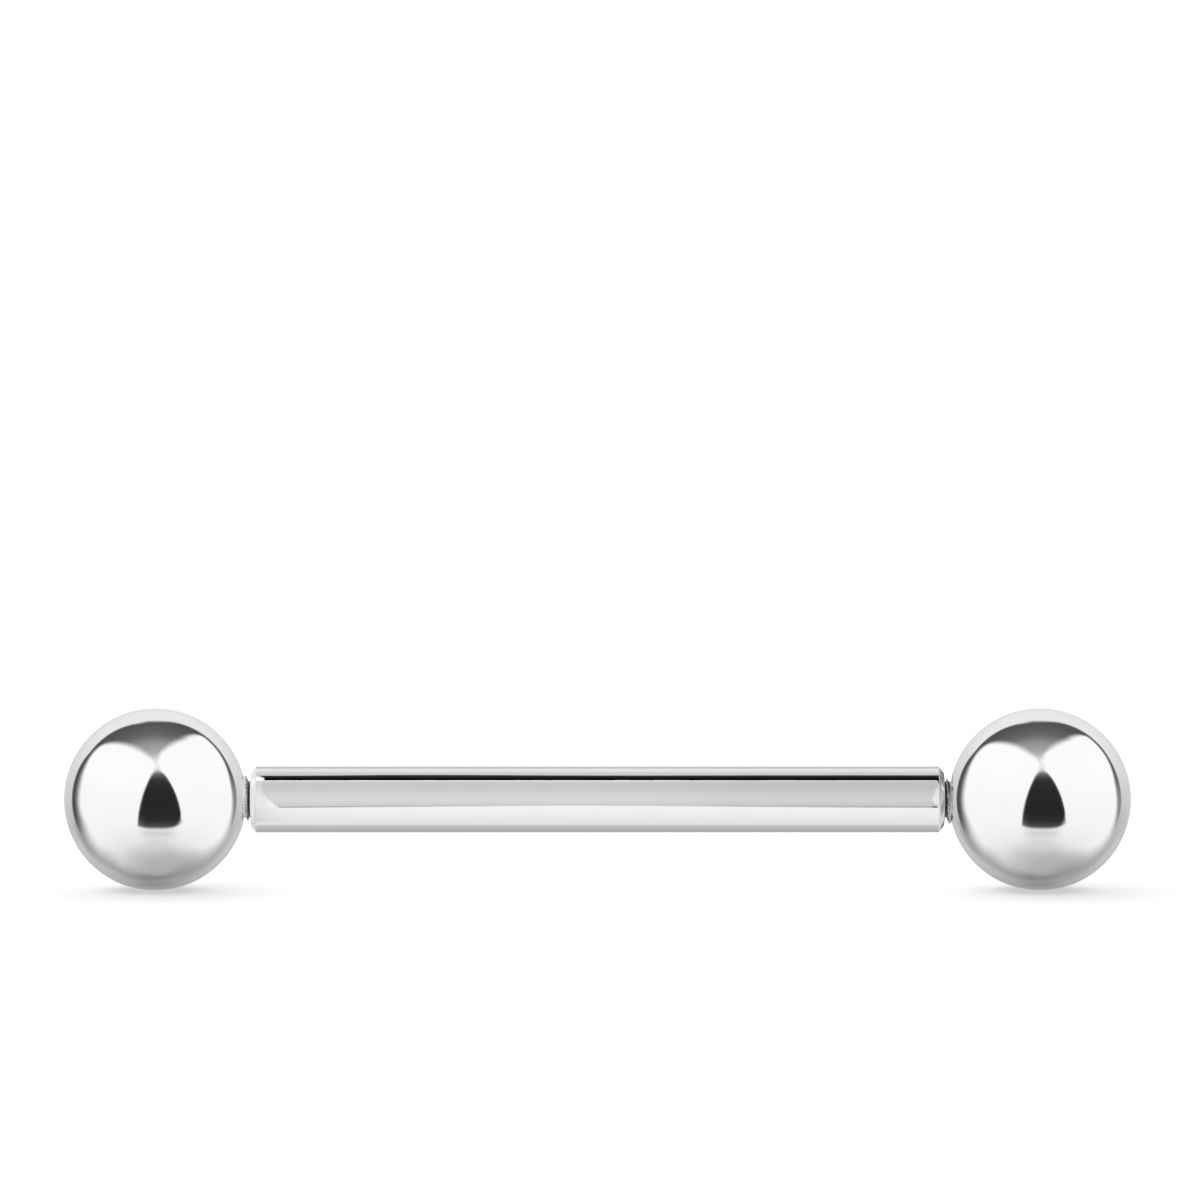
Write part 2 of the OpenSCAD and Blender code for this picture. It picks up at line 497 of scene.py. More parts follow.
# %% [markdown]
# A tent must be seen only by the piece that it is for, and hide nothing from the others. Two things do
# that. Its material adds a glow to a clear surface, so rays of other pieces pass. And light linking names
# the pieces that it shines on. The camera and the table don't see it at all. Steel throws back a little
# less light than falls on it, so the glow is that much stronger, and the grey that was chosen is the grey
# that shows.

# %% Glow of a tent
STEEL_GREY = 0.86


def tent_material(name):
    """A clear surface that glows with the light stored in each corner of its mesh."""
    material, nodes, links, output = shader_tree(name)
    grey = nodes.new("ShaderNodeAttribute")
    grey.attribute_name = "tent_light"
    glow = nodes.new("ShaderNodeEmission")
    clear = nodes.new("ShaderNodeBsdfTransparent")
    both = nodes.new("ShaderNodeAddShader")
    links.new(grey.outputs["Fac"], glow.inputs["Color"])
    links.new(glow.outputs[0], both.inputs[0])
    links.new(clear.outputs[0], both.inputs[1])
    links.new(both.outputs[0], output.inputs["Surface"])
    material.cycles.emission_sampling = "NONE"
    return material


print("a tent glows", round(1 / STEEL_GREY, 2), "times as strongly as it should show")

# %% Make and hang a tent
def tent_mesh(name, corners, grey):
    """A mesh from rows and columns of corners, which glows with each corner's grey."""
    rows, columns = grey.shape
    index = np.arange(rows * columns).reshape(rows, columns)
    faces = np.stack([index[:-1, :-1], index[:-1, 1:], index[1:, 1:], index[1:, :-1]], axis=-1)
    faces = faces.reshape(-1, 4)
    mesh = bpy.data.meshes.new(name)
    mesh.from_pydata(corners.reshape(-1, 3).tolist(), [], faces.tolist())
    light = mesh.attributes.new("tent_light", "FLOAT", "POINT")
    light.data.foreach_set("value", (light_of_grey(grey) / STEEL_GREY).astype(np.float32).ravel())
    mesh.materials.append(tent_material(name + "_glow"))
    print(f"{name}: {len(faces)} faces")
    return mesh


def hang_tent(name, mesh):
    """Hangs a tent that neither the camera nor the table sees, and that shades nothing."""
    tent = bpy.data.objects.new(name, mesh)
    bpy.context.scene.collection.objects.link(tent)
    tent.visible_camera = False
    tent.visible_diffuse = False
    tent.visible_shadow = False
    return tent


print("a tent keeps one grey at each corner of its grid")

# %% [markdown]
# Both balls in the photograph show the same picture, with the card right in front of each. One tent for
# the two would show the card off the middle, because each ball sees the camera from its own side. So each
# ball has a tent of its own: the same mesh, hung round that ball and turned until its front faces the
# camera. It is a metre away, hundreds of times as far as the ball is wide, so it looks the same from
# everywhere on the ball.

# %% A tent for each ball
BALL_TENT_R = 1.0
ENDS = (("left", -1), ("right", 1))

right_way = np.array([1.0, 0.0, 0.0])
front_way = np.array(to_camera)
up_way = np.array(screen_up)
ball_tent_corners = BALL_TENT_R * (
    towards_front[..., None] * front_way
    + (np.cos(up_rad) * np.sin(side_rad))[..., None] * right_way
    + np.sin(up_rad)[..., None] * up_way
)
ball_tent_mesh = tent_mesh("ball_tent", ball_tent_corners, ball_tent)
turn_to_camera = math.atan2(ball_x, distance * math.cos(camera_up))
ball_tents = {}
for side_name, end in ENDS:
    tent = hang_tent("tent_of_the_" + side_name + "_ball", ball_tent_mesh)
    tent.location = (end * ball_x, 0, ball_r)
    tent.rotation_euler = (0, 0, -end * turn_to_camera)
    ball_tents[side_name] = tent
print(f"each ball's tent is turned by {math.degrees(turn_to_camera):.1f} degrees")

# %% [markdown]
# The bar is a cylinder, so it draws each thing round it as a stripe along its length. In the photograph
# it has a surround of its own: a narrow black strip right above, a light grey card in front from the
# strip down to below the line of sight, and a white sheet under that. The grey card ends just short of
# the shoulders, which leaves a paler corner at each end of the bar. So this tent is a tube round the
# bar's axis, and close to it: a far one would blur the card's ends, and would show them halfway along the
# bar when it is seen from the side. A corner of the tube is given by two numbers: along is metres along
# the bar, and round is degrees from the camera up and over the bar. A third, on_bar, is the place on the
# bar where the camera sees that corner.

# %% Grid of the bar's tent
BAR_TENT_R = 3 * MM
BAR_TENT_REACH = 400 * MM
MIDDLE_END_MM = 7.4
FAR_START_MM = 22
# Bands of lines, in millimetres along the bar and in degrees round it: first, last, step
END_BANDS = [(MIDDLE_END_MM, 7.8, 0.1), (7.8, 8.8, 0.02), (8.8, 9.6, 0.1), (9.6, FAR_START_MM, 0.8)]
ROUND_BANDS = [(-180, -30, 2), (-30, 100, 0.5), (100, 180, 2)]

along_middle = np.linspace(0, MIDDLE_END_MM * MM, 12)[:-1]
along_far = np.geomspace(FAR_START_MM * MM, BAR_TENT_REACH, 12)
along_right = np.concatenate([along_middle, MM * lines_at(END_BANDS), along_far])
along_lines = np.concatenate([-along_right[:0:-1], along_right])
along, round_deg = np.meshgrid(along_lines, lines_at(ROUND_BANDS))
half_round = np.radians(round_deg / 2)
on_bar = along / (1 + (BAR_TENT_R - bar_r * np.cos(half_round)) / distance)
print("the bar's tent has", along.size, "corners")

# %% Surround of the bar
LEFT_SHEET_DIP = 0.11
LEFT_SHEET_FADE = 0.5 * MM

surround = smooth_curve(
    round_deg,
    [-180, -150, -120, -106, -97, -80, -45, -25, 75, 98, 110, 128, 142, 160, 180],
    [0.62, 0.66, 0.725, 0.77, 0.87, 0.90, 0.94, 0.95, 0.97, 0.79, 0.83, 0.90, 0.79, 0.74, 0.72],
)
left_sheet = np.exp(-np.abs(on_bar + shoulder_x) / LEFT_SHEET_FADE)
left_sheet = left_sheet * soft_step(-25, -35, round_deg) * soft_step(-92, -80, round_deg)
surround = surround - LEFT_SHEET_DIP * left_sheet
print("surround of the bar:", round(float(surround.min()), 2), "to", round(float(surround.max()), 2))

# %% Pale corners at the ends
CORNERS_FROM = 8.0 * MM
CORNERS_FULL = 8.2 * MM

corner_grey = smooth_curve(round_deg, [-35, 5, 35, 66], [0.885, 0.91, 0.865, 0.82])
corners = soft_step(CORNERS_FROM, CORNERS_FULL, np.abs(on_bar))
corners = corners * soft_step(-34, -22, round_deg) * soft_step(68, 64, round_deg)
bar_tent = cover(surround, corner_grey, corners)
print("the pale corners start", round(CORNERS_FROM / MM, 1), "mm from the middle")

# %% [markdown]
# The black strip is the sharpest thing that the bar shows. Its lower edge is straight and its upper edge
# a little bowed. On the left it ends with a slanted cut and a glint beside it. On the right it runs on to
# the shoulder, where it hooks down a little.

# %% Outline of the black strip
STRIP_LOW = 70.9
STRIP_RIGHT = 10.5 * MM
STRIP_HOOK = 13
HOOK_FROM = 8.34 * MM
HOOK_FULL = 8.42 * MM
STRIP_LOW_SOFT = 0.5
STRIP_HIGH_SOFT = 2.5
CUT_SOFT = 0.02 * MM

strip_low = STRIP_LOW - STRIP_HOOK * soft_step(HOOK_FROM, HOOK_FULL, on_bar)
strip_high = smooth_curve(on_bar / MM, [-8, -5, 0, 5], [91.3, 95, 92.5, 93.5])
strip_left = smooth_curve(round_deg, [73, 84, 92], [-8.20, -8.23, -8.34]) * MM
strip = soft_step(-STRIP_LOW_SOFT, STRIP_LOW_SOFT, round_deg - strip_low)
strip = strip * soft_step(-STRIP_HIGH_SOFT, STRIP_HIGH_SOFT, strip_high - round_deg)
strip = strip * soft_step(-CUT_SOFT, CUT_SOFT, on_bar - strip_left)
strip = strip * soft_step(STRIP_RIGHT + CUT_SOFT, STRIP_RIGHT - CUT_SOFT, on_bar)
print(f"strip: from {STRIP_LOW} to about {strip_high.mean():.1f} degrees up")

# %% Greys of the black strip
GLINT_GREY = 1.0

strip_grey = smooth_curve(round_deg, [STRIP_LOW, 79, 83, 90], [0.0, 0.02, 0.15, 0.15])
glint = soft_step(-0.04 * MM, -0.10 * MM, on_bar - strip_left)
glint = glint * soft_step(STRIP_LOW - 2, STRIP_LOW, round_deg) * soft_step(88, 84, round_deg)
bar_tent = cover(bar_tent, GLINT_GREY, glint)
bar_tent = cover(bar_tent, strip_grey, strip)
print("darkest grey of the strip:", round(float(bar_tent.min()), 2))

# %% [markdown]
# The grey card hangs in front of the bar, and its outline is easy to see: a slanting curve on the left, a
# blunter end on the right, and a lower edge that is bowed upwards in the middle. That edge has a darker
# hem towards the ends of the bar. Between the card and the strip a paler line stays free, which fades a
# little to the right.

# %% Outline of the grey card
GREY_CARD_HIGH = 66
GREY_CARD_LOW_SOFT = 0.7
GREY_CARD_HIGH_SOFT = 1

card_left = MM * smooth_curve(
    round_deg,
    [-29, -20, -5, 8, 22, 38],
    [-7.84, -7.93, -8.06, -8.16, -8.23, -8.265],
)
card_right = MM * smooth_curve(
    round_deg,
    [-26, -12, 2, 20, 38, 60],
    [8.37, 8.275, 8.24, 8.285, 8.335, 8.43],
)
card_low = smooth_curve(on_bar / MM, [-8, -5, 0, 5, 8], [-29.3, -26, -22, -27, -29])
grey_card = soft_step(-CUT_SOFT, CUT_SOFT, on_bar - card_left)
grey_card = grey_card * soft_step(-CUT_SOFT, CUT_SOFT, card_right - on_bar)
grey_card = grey_card * soft_step(-GREY_CARD_LOW_SOFT, GREY_CARD_LOW_SOFT, round_deg - card_low)
under_high = soft_step(-GREY_CARD_HIGH_SOFT, GREY_CARD_HIGH_SOFT, GREY_CARD_HIGH - round_deg)
grey_card = grey_card * under_high
print(f"grey card: {GREY_CARD_HIGH - card_low.mean():.0f} degrees high")

# %% Greys of the grey card
RIGHT_DIP = 0.025
HEM_GREY = 0.68
HEM_DARKER_RIGHT = 0.38
LINE_DIP = 0.09
LINE_DIP_MORE_RIGHT = 0.08

card_tone = smooth_curve(round_deg, [-18, -8, 5, 25, 48, 64], [0.81, 0.835, 0.845, 0.815, 0.78, 0.79])
card_tone = card_tone - RIGHT_DIP * soft_step(0, 5 * MM, on_bar)
hem = soft_step(7, 3, round_deg - card_low) * soft_step(0.5 * MM, 8 * MM, np.abs(on_bar))
hem_grey = HEM_GREY - HEM_DARKER_RIGHT * soft_step(8.18 * MM, 8.30 * MM, on_bar)
bar_tent = cover(bar_tent, cover(card_tone, hem_grey, hem), grey_card)
line_dip = LINE_DIP + LINE_DIP_MORE_RIGHT * soft_step(1 * MM, 5 * MM, on_bar)
over_card = 1 - under_high
bar_tent = bar_tent - line_dip * over_card * soft_step(STRIP_LOW + 1, STRIP_LOW - 1, round_deg)
print("grey of the card in front:", round(float(card_tone.mean()), 2))

# %% [markdown]
# The bevels face the ends far more than the camera, so they show the far parts of the tube: the middle of
# a bevel shows what is furthest along, and its top and bottom what is nearer. The left bevel is as pale
# as the bar beside it, and the right one is greyer and patchy, with a dark line where it rounds into the
# shoulder.

# %% Greys of the far parts
FAR_FROM = 8.75 * MM
FAR_FULL = 9.15 * MM
FAR_PLACES_MM = [9.5, 11.4, 12.5, 13.4, 14.4, 15.6, 19, 21]
SHOULDER_LINE_GREY = 0.4

beyond = np.abs(along)
left_above = smooth_curve(beyond / MM, FAR_PLACES_MM, [0.90, 0.92, 0.97, 0.95, 0.92, 0.90, 0.89, 0.90])
left_below = smooth_curve(beyond / MM, FAR_PLACES_MM, [0.80, 0.85, 0.87, 0.88, 0.88, 0.89, 0.89, 0.90])
right_above = smooth_curve(beyond / MM, FAR_PLACES_MM, [0.75, 0.48, 0.62, 0.58, 0.90, 0.76, 0.72, 0.78])
right_below = smooth_curve(beyond / MM, FAR_PLACES_MM, [0.82, 0.84, 0.82, 0.76, 0.66, 0.61, 0.62, 0.78])
far_above = np.where(along < 0, left_above, right_above)
far_below = np.where(along < 0, left_below, right_below)
far_grey = cover(far_below, far_above, soft_step(-60, 60, round_deg))
bar_tent = cover(bar_tent, far_grey, soft_step(FAR_FROM, FAR_FULL, beyond))
near_shoulder = soft_step(9.1 * MM, 9.5 * MM, along) * soft_step(11.8 * MM, 11 * MM, along)
bar_tent = cover(bar_tent, SHOULDER_LINE_GREY, near_shoulder * soft_step(155, 162, np.abs(round_deg)))
print("the far parts start", round(FAR_FROM / MM, 2), "mm from the middle")

# %% [markdown]
# A corner of the tube is hung where the ray that the bar throws that way meets it. That is a little off
# its angle round the axis, because the ray starts at the bar's surface and not at its axis. Right behind
# the bar the tube is closed without that. A cap at each end closes it too, so that no ray looks past it.

# %% The bar's tent
bar_turn = np.arcsin(bar_r / BAR_TENT_R * np.sin(half_round))
round_rad = 2 * half_round - bar_turn * soft_step(180, 150, np.abs(round_deg))
bar_tent_corners = (
    along[..., None] * right_way
    + BAR_TENT_R * np.cos(round_rad)[..., None] * front_way
    + BAR_TENT_R * np.sin(round_rad)[..., None] * up_way
    + np.array(middle)
)
bar_tents = [hang_tent("tent_of_the_bar", tent_mesh("bar_tent", bar_tent_corners, bar_tent))]

# %% Ends of the bar's tent
CAP_GREY = 0.9
CAP_RINGS = 9
CAP_STEP_DEG = 5

cap_angles = np.radians(np.arange(0, 361, CAP_STEP_DEG))
cap_out, cap_round = np.meshgrid(np.linspace(0, BAR_TENT_R, CAP_RINGS), cap_angles)
cap_way = np.cos(cap_round)[..., None] * front_way + np.sin(cap_round)[..., None] * up_way
for name, end in (("tent_cap_right", 1), ("tent_cap_left", -1)):
    cap_corners = cap_out[..., None] * cap_way + end * BAR_TENT_REACH * right_way + np.array(middle)
    bar_tents.append(hang_tent(name, tent_mesh(name, cap_corners, np.full(cap_out.shape, CAP_GREY))))

# %% [markdown]
# Surgical steel for the body is ground, tumbled and buffed until it is a mirror. What is left of the
# making is small: fine lines that follow the grinding, a faint cloudiness of the buffing, and edges that
# the tumbling has rounded. A single flat grey would look like plastic film, and a picture of steel would
# slide over the shape. So three layers of noise in the shader give these: one clouds the grey, one the
# roughness, and one, drawn out in the direction of the lines, tilts the surface by less than a degree. On
# the balls the noise isn't drawn out, because they tumble freely and the buffing leaves no direction.

# %% A layer of noise
def noise_layer(nodes, links, place, feature, stretch, detail):
    """Noise whose features have this size in metres, and are longer by stretch along the bar."""
    mapping = nodes.new("ShaderNodeMapping")
    mapping.inputs["Scale"].default_value = (1 / feature / stretch, 1 / feature, 1 / feature)
    noise = nodes.new("ShaderNodeTexNoise")
    noise.inputs["Scale"].default_value = 1
    noise.inputs["Detail"].default_value = detail
    links.new(place, mapping.inputs["Vector"])
    links.new(mapping.outputs["Vector"], noise.inputs["Vector"])
    return noise.outputs["Fac"]


print("a layer needs two nodes")

# %% Numbers in a shader
def ranged(nodes, links, value, start, stop, low, high):
    """Turns start to stop into low to high, and holds what is outside."""
    spread_out = nodes.new("ShaderNodeMapRange")
    for socket, setting in (("From Min", start), ("From Max", stop), ("To Min", low), ("To Max", high)):
        spread_out.inputs[socket].default_value = setting
    links.new(value, spread_out.inputs["Value"])
    return spread_out.outputs["Result"]


def combined(nodes, links, operation, first, second):
    """One number from two: their product, their sum or the larger one."""
    math_node = nodes.new("ShaderNodeMath")
    math_node.operation = operation
    links.new(first, math_node.inputs[0])
    links.new(second, math_node.inputs[1])
    return math_node.outputs[0]


print("a number is ranged or combined by one node each")

# %% A steel
NOISE_LOW = 0.3
NOISE_HIGH = 0.7
CLOUD_DETAIL = 3
BUFFING_DETAIL = 5
LINE_DETAIL = 2
BUFFING_FINER = 6


def steel_material(name, grey, rough, cloud_size, line_size, line_stretch, line_depth, shade=None):
    """Steel with fine lines, and with clouded grey and roughness, each given as (lowest, highest)."""
    material, nodes, links, output = shader_tree(name)
    steel = nodes.new("ShaderNodeBsdfPrincipled")
    steel.inputs["Metallic"].default_value = 1
    links.new(steel.outputs["BSDF"], output.inputs["Surface"])
    place = nodes.new("ShaderNodeTexCoord").outputs["Object"]
    clouds = noise_layer(nodes, links, place, cloud_size, 1, CLOUD_DETAIL)
    tone = ranged(nodes, links, clouds, NOISE_LOW, NOISE_HIGH, *grey)
    # A given shade is painted shade, which darkens the steel's grey.
    if shade:
        tone = combined(nodes, links, "MULTIPLY", tone, shade(nodes, links, place))
    tint = nodes.new("ShaderNodeCombineColor")
    for channel in ("Red", "Green", "Blue"):
        links.new(tone, tint.inputs[channel])
    links.new(tint.outputs["Color"], steel.inputs["Base Color"])
    buffing = noise_layer(nodes, links, place, cloud_size / BUFFING_FINER, line_stretch, BUFFING_DETAIL)
    roughness = ranged(nodes, links, buffing, NOISE_LOW, NOISE_HIGH, *rough)
    links.new(roughness, steel.inputs["Roughness"])
    lines = noise_layer(nodes, links, place, line_size, line_stretch, LINE_DETAIL)
    bump = nodes.new("ShaderNodeBump")
    bump.inputs["Distance"].default_value = line_depth
    links.new(lines, bump.inputs["Height"])
    links.new(bump.outputs["Normal"], steel.inputs["Normal"])
    print(f"{name}: lines {1e6 * line_size:.0f} microns apart and {1e9 * line_depth:.0f} nanometres deep")
    return material


# %% Polished steel
bar_steel = steel_material(
    "polished_bar_steel", grey=(0.85, 0.87), rough=(0.015, 0.03), cloud_size=1.2 * MM,
    line_size=0.06 * MM, line_stretch=10, line_depth=0.0003 * MM,
)
ball_steel = steel_material(
    "polished_ball_steel", grey=(0.85, 0.87), rough=(0.04, 0.07), cloud_size=1.5 * MM,
    line_size=0.25 * MM, line_stretch=1, line_depth=0.00006 * MM,
)

# %% [markdown]
# A thread is cut after the bar is ground and is not buffed, so it shows the marks of the die. Its crests
# are burnished by the ball and shine, while its root sees only its own flanks, lies in shade and looks
# almost black. A renderer would find that shade by itself from many bounces between the flanks, but the
# tents shine through the steel's neighbours, so the shader paints the shade into the steel's grey. This
# painted shade darkens the steel towards the axis, with some noise in the distance, so that the border is
# as ragged as the cut, and it lays a dark line of painted shade in the corner beside the shoulder. On the
# first turn, where the mouth of the ball slides over it, no shade is painted, and the pale ring there is a
# painted highlight. The painted shade also stops short of the turned face of the tip, which is pale. In
# the tapped hole of a ball, painted shade deepens with the depth behind the mouth.

# %% Distances on the barbell
def from_axis(nodes, links, place):
    """Distance of a point from the barbell's axis, in metres."""
    across = nodes.new("ShaderNodeMapping")
    across.inputs["Location"].default_value = (0, 0, -ball_r)
    across.inputs["Scale"].default_value = (0, 1, 1)
    length = nodes.new("ShaderNodeVectorMath")
    length.operation = "LENGTH"
    links.new(place, across.inputs["Vector"])
    links.new(across.outputs["Vector"], length.inputs[0])
    return length.outputs["Value"]


def from_centre(nodes, links, place):
    """Distance of a point from the middle of the barbell, measured along it, in metres."""
    split = nodes.new("ShaderNodeSeparateXYZ")
    links.new(place, split.inputs[0])
    out = nodes.new("ShaderNodeMath")
    out.operation = "ABSOLUTE"
    links.new(split.outputs["X"], out.inputs[0])
    return out.outputs[0]


mouth_at = ball_x - ball_r
print(f"the mouth of a ball's hole is {mouth_at / MM:.2f} mm from the middle")

# %% Ragged border and painted highlight ring of the thread
CUT_RAGGED = 0.09 * MM
CUT_GRAIN = 0.04 * MM
RAGGED_LOW = 0.25
RAGGED_HIGH = 0.75
# Width of the ring of painted highlight on the first turn, next to the mouth of the ball.
HIGHLIGHT_RING_LEN = 0.10 * MM


def ragged(nodes, links, place):
    """A noise that moves a border to and fro by a part of the cut's depth."""
    noise = noise_layer(nodes, links, place, CUT_GRAIN, 1, LINE_DETAIL)
    return ranged(nodes, links, noise, RAGGED_LOW, RAGGED_HIGH, -CUT_RAGGED / 2, CUT_RAGGED / 2)


def highlight_ring_band(nodes, links, place):
    """1 on the ring of painted highlight next to the mouth of the ball, and 0 elsewhere."""
    out = from_centre(nodes, links, place)
    end = mouth_at + HIGHLIGHT_RING_LEN
    rising = ranged(nodes, links, out, mouth_at - 0.005 * MM, mouth_at + 0.01 * MM, 0, 1)
    falling = ranged(nodes, links, out, end, end + 0.04 * MM, 1, 0)
    return combined(nodes, links, "MULTIPLY", rising, falling)


print(f"the mouth of the ball rubs {HIGHLIGHT_RING_LEN / MM:.2f} mm of the thread")

# %% Painted shade at the root of the thread
PITCH = 0.25 * MM
THREAD_R = 0.6 * MM
THREAD_DEPTH = 0.6134 * PITCH
ROOT_R = THREAD_R - THREAD_DEPTH
# Greys of the painted shade: nearly black at the root, lifted towards the crest.
DARK_UP_TO = 0.65
ROOT_SHADE_GREY = 0.02
CREST_GREY = 0.7
# A dark line of painted shade in the corner beside the shoulder.
CORNER_SHADE_GREY = 0.1
CORNER_SHADE_LEN = 0.05 * MM
# Grey of the painted highlight ring, where no painted shade lies.
HIGHLIGHT_RING_GREY = 0.72
# The painted shade stops short of the turned face of the tip.
TIP_FROM = 0.09 * MM
TIP_FULL = 0.03 * MM
TIP_GREY = 0.6


def painted_root_shade(nodes, links, place):
    """Painted shade of the cut thread: dark at the root and by the shoulder, paler at crest and tip, pale
    on the highlight ring.
    """
    to_and_fro = ragged(nodes, links, place)
    height = combined(nodes, links, "ADD", from_axis(nodes, links, place), to_and_fro)
    out = combined(nodes, links, "ADD", from_centre(nodes, links, place), to_and_fro)
    dark_to = ROOT_R + DARK_UP_TO * THREAD_DEPTH
    crest = ranged(nodes, links, height, dark_to, THREAD_R, ROOT_SHADE_GREY, CREST_GREY)
    corner = ranged(nodes, links, out, shoulder_x, shoulder_x + CORNER_SHADE_LEN, CORNER_SHADE_GREY, 1)
    cut = combined(nodes, links, "MULTIPLY", crest, corner)
    # On the ring by the ball's mouth the painted shade gives way to a painted highlight.
    ring_highlight = ranged(nodes, links, highlight_ring_band(nodes, links, place), 0, 1, 0, HIGHLIGHT_RING_GREY)
    shade_and_highlight = combined(nodes, links, "MAXIMUM", cut, ring_highlight)
    tip = ranged(nodes, links, out, thread_end_x - TIP_FROM, thread_end_x - TIP_FULL, 0, TIP_GREY)
    return combined(nodes, links, "MAXIMUM", shade_and_highlight, tip)


thread_steel = steel_material(
    "cut_thread_steel", grey=(0.80, 1.0), rough=(0.06, 0.16), cloud_size=0.2 * MM,
    line_size=0.03 * MM, line_stretch=1, line_depth=0.001 * MM, shade=painted_root_shade,
)

# %% Painted shade in the depth of the hole
# The hole's painted shade: grey at the mouth, nearly black deep inside.
HOLE_DARK_FROM = 0.1 * MM
HOLE_DARK_LEN = 0.5 * MM
MOUTH_GREY = 0.6
DEEP_GREY = 0.03


def painted_depth_shade(nodes, links, place):
    """Painted shade of the tapped hole: it darkens with the depth behind its mouth."""
    start = mouth_at + HOLE_DARK_FROM
    out = from_centre(nodes, links, place)
    return ranged(nodes, links, out, start, start + HOLE_DARK_LEN, MOUTH_GREY, DEEP_GREY)


hole_steel = steel_material(
    "tapped_hole_steel", grey=(0.70, 0.85), rough=(0.12, 0.25), cloud_size=0.3 * MM,
    line_size=0.03 * MM, line_stretch=1, line_depth=0.0008 * MM, shade=painted_depth_shade,
)

# %% [markdown]
# Every piece is turned on a lathe, so each starts as a profile: a row of points that give a distance
# along the axis and a distance out from it. A real edge is never quite sharp, and a small round on it is
# what catches the light. The helper below rounds each corner of a profile with an arc. A bevel modifier
# could do this on the finished mesh, but on the profile it costs nothing and the radius is exact.

# %% Profile with rounded corners
ARC_STEPS = 6


def rounded_corner(before, corner, after, radius):
    """Points of the arc that rounds a corner between two neighbours."""
    here = np.array(corner, float)
    back = np.array(before, float) - here
    ahead = np.array(after, float) - here
    back = back / np.linalg.norm(back)
    ahead = ahead / np.linalg.norm(ahead)
    half = math.acos(np.clip(np.dot(back, ahead), -1, 1)) / 2
    centre = here + (back + ahead) / np.linalg.norm(back + ahead) * radius / math.sin(half)
    start = here + back * radius / math.tan(half) - centre
    stop = here + ahead * radius / math.tan(half) - centre
    swing = math.pi - 2 * half
    points = []
    for share in np.linspace(0, 1, ARC_STEPS + 1):
        arm = start * math.sin((1 - share) * swing) + stop * math.sin(share * swing)
        points.append(tuple(centre + arm / math.sin(swing)))
    return points


def turned_profile(corners):
    """Points of a profile from corners (along, out, radius of the round). A sharp corner has radius 0."""
    points = []
    for number, (along_axis, out, radius) in enumerate(corners):
        if radius == 0:
            points.append((along_axis, out))
        else:
            before, after = corners[number - 1][:2], corners[number + 1][:2]
            points += rounded_corner(before, (along_axis, out), after, radius)
    return points


print("a rounded corner has", ARC_STEPS + 1, "points")

# %% [markdown]
# A profile becomes a skin when it is spun round the axis. Blender's Screw modifier does that too, but a
# grid of corners made here can be joined to the thread's grid, and that makes one closed skin. Such a
# skin is called a sheet below: the list of its corners, each as two distances across the axis and one
# along it, and the list of its faces, each as the numbers of four corners.

# %% Sheets of corners
def grid_faces(index, turned):
    """Faces between the rows of a grid, from the numbers of its corners and of their neighbours."""
    return np.stack([index[:-1], turned[:-1], turned[1:], index[1:]], axis=-1).reshape(-1, 4)


def spun_sheet(profile, sides):
    """The corners and faces that a profile makes when it is spun round the axis."""
    angle = np.arange(sides) * 2 * math.pi / sides
    along_axis, out = np.array(profile, float).T
    corners = np.stack([
        out[:, None] * np.cos(angle),
        out[:, None] * np.sin(angle),
        np.repeat(along_axis[:, None], sides, axis=1),
    ], axis=-1)
    index = np.arange(len(profile) * sides).reshape(len(profile), sides)
    return corners.reshape(-1, 3), grid_faces(index, np.roll(index, -1, axis=1))


print("a sheet is spun round the axis, and its last side meets its first")

# %% [markdown]
# The thread is M1.2, with a pitch of a quarter of a millimetre. Each turn rises along the axis, so a ring
# of corners doesn't close on itself but meets the ring one pitch further on, like a spiral stair. The
# rows of this sheet follow the crest and the root, which keeps both clear with few faces. Rows that would
# start before the shoulder or run past the tip are held at that end, and the merging of equal corners
# later closes the sheet to what it joins. The first turn is placed so that a crest passes in front just
# past the shoulder.

# %% Form of the thread
ROWS_PER_TURN = 16
CREST_SHARE = 6 / 16
FRONT_TURN = 3 / 4
FRONT_CREST = 0.085 * MM

row_share = np.arange(ROWS_PER_TURN) / ROWS_PER_TURN
ridge_form = np.interp(row_share, [0, 5 / 16, 7 / 16, 12 / 16, 1], [0, 1, 1, 0, 0])
ridge_form = (np.roll(ridge_form, 1) + 2 * ridge_form + np.roll(ridge_form, -1)) / 4
from_root = np.abs((row_share - CREST_SHARE) % 1 - 0.5)
nut_form = np.interp(from_root, [2 / 16, 7 / 16], [1, 0])
first_turn = shoulder_x + FRONT_CREST - PITCH * (CREST_SHARE + FRONT_TURN)
print("height of a ridge, row by row:", ridge_form.round(2).tolist())

# %% Winding the thread
def wound_sheet(start, stop, form, sides, out_at):
    """The corners and faces of a thread. out_at gives the radius for a height of the form."""
    turns = (stop - start) / PITCH + 2
    rows = int(math.ceil(turns * ROWS_PER_TURN)) + 1
    row, side = np.meshgrid(np.arange(rows), np.arange(sides), indexing="ij")
    lowest = start - 2 * PITCH + (first_turn - start) % PITCH
    along_axis = np.clip(lowest + PITCH * (row / ROWS_PER_TURN + side / sides), start, stop)
    out = out_at(form[row % ROWS_PER_TURN], along_axis)
    angle = 2 * math.pi * side / sides
    corners = np.stack([out * np.cos(angle), out * np.sin(angle), along_axis], axis=-1)
    index = row * sides + side
    next_turn = np.minimum(row[:, :1] + ROWS_PER_TURN, rows - 1) * sides
    turned = np.concatenate([index[:, 1:], next_turn], axis=1)
    return corners.reshape(-1, 3), grid_faces(index, turned)


print("one turn of the thread rises", PITCH / MM, "mm")

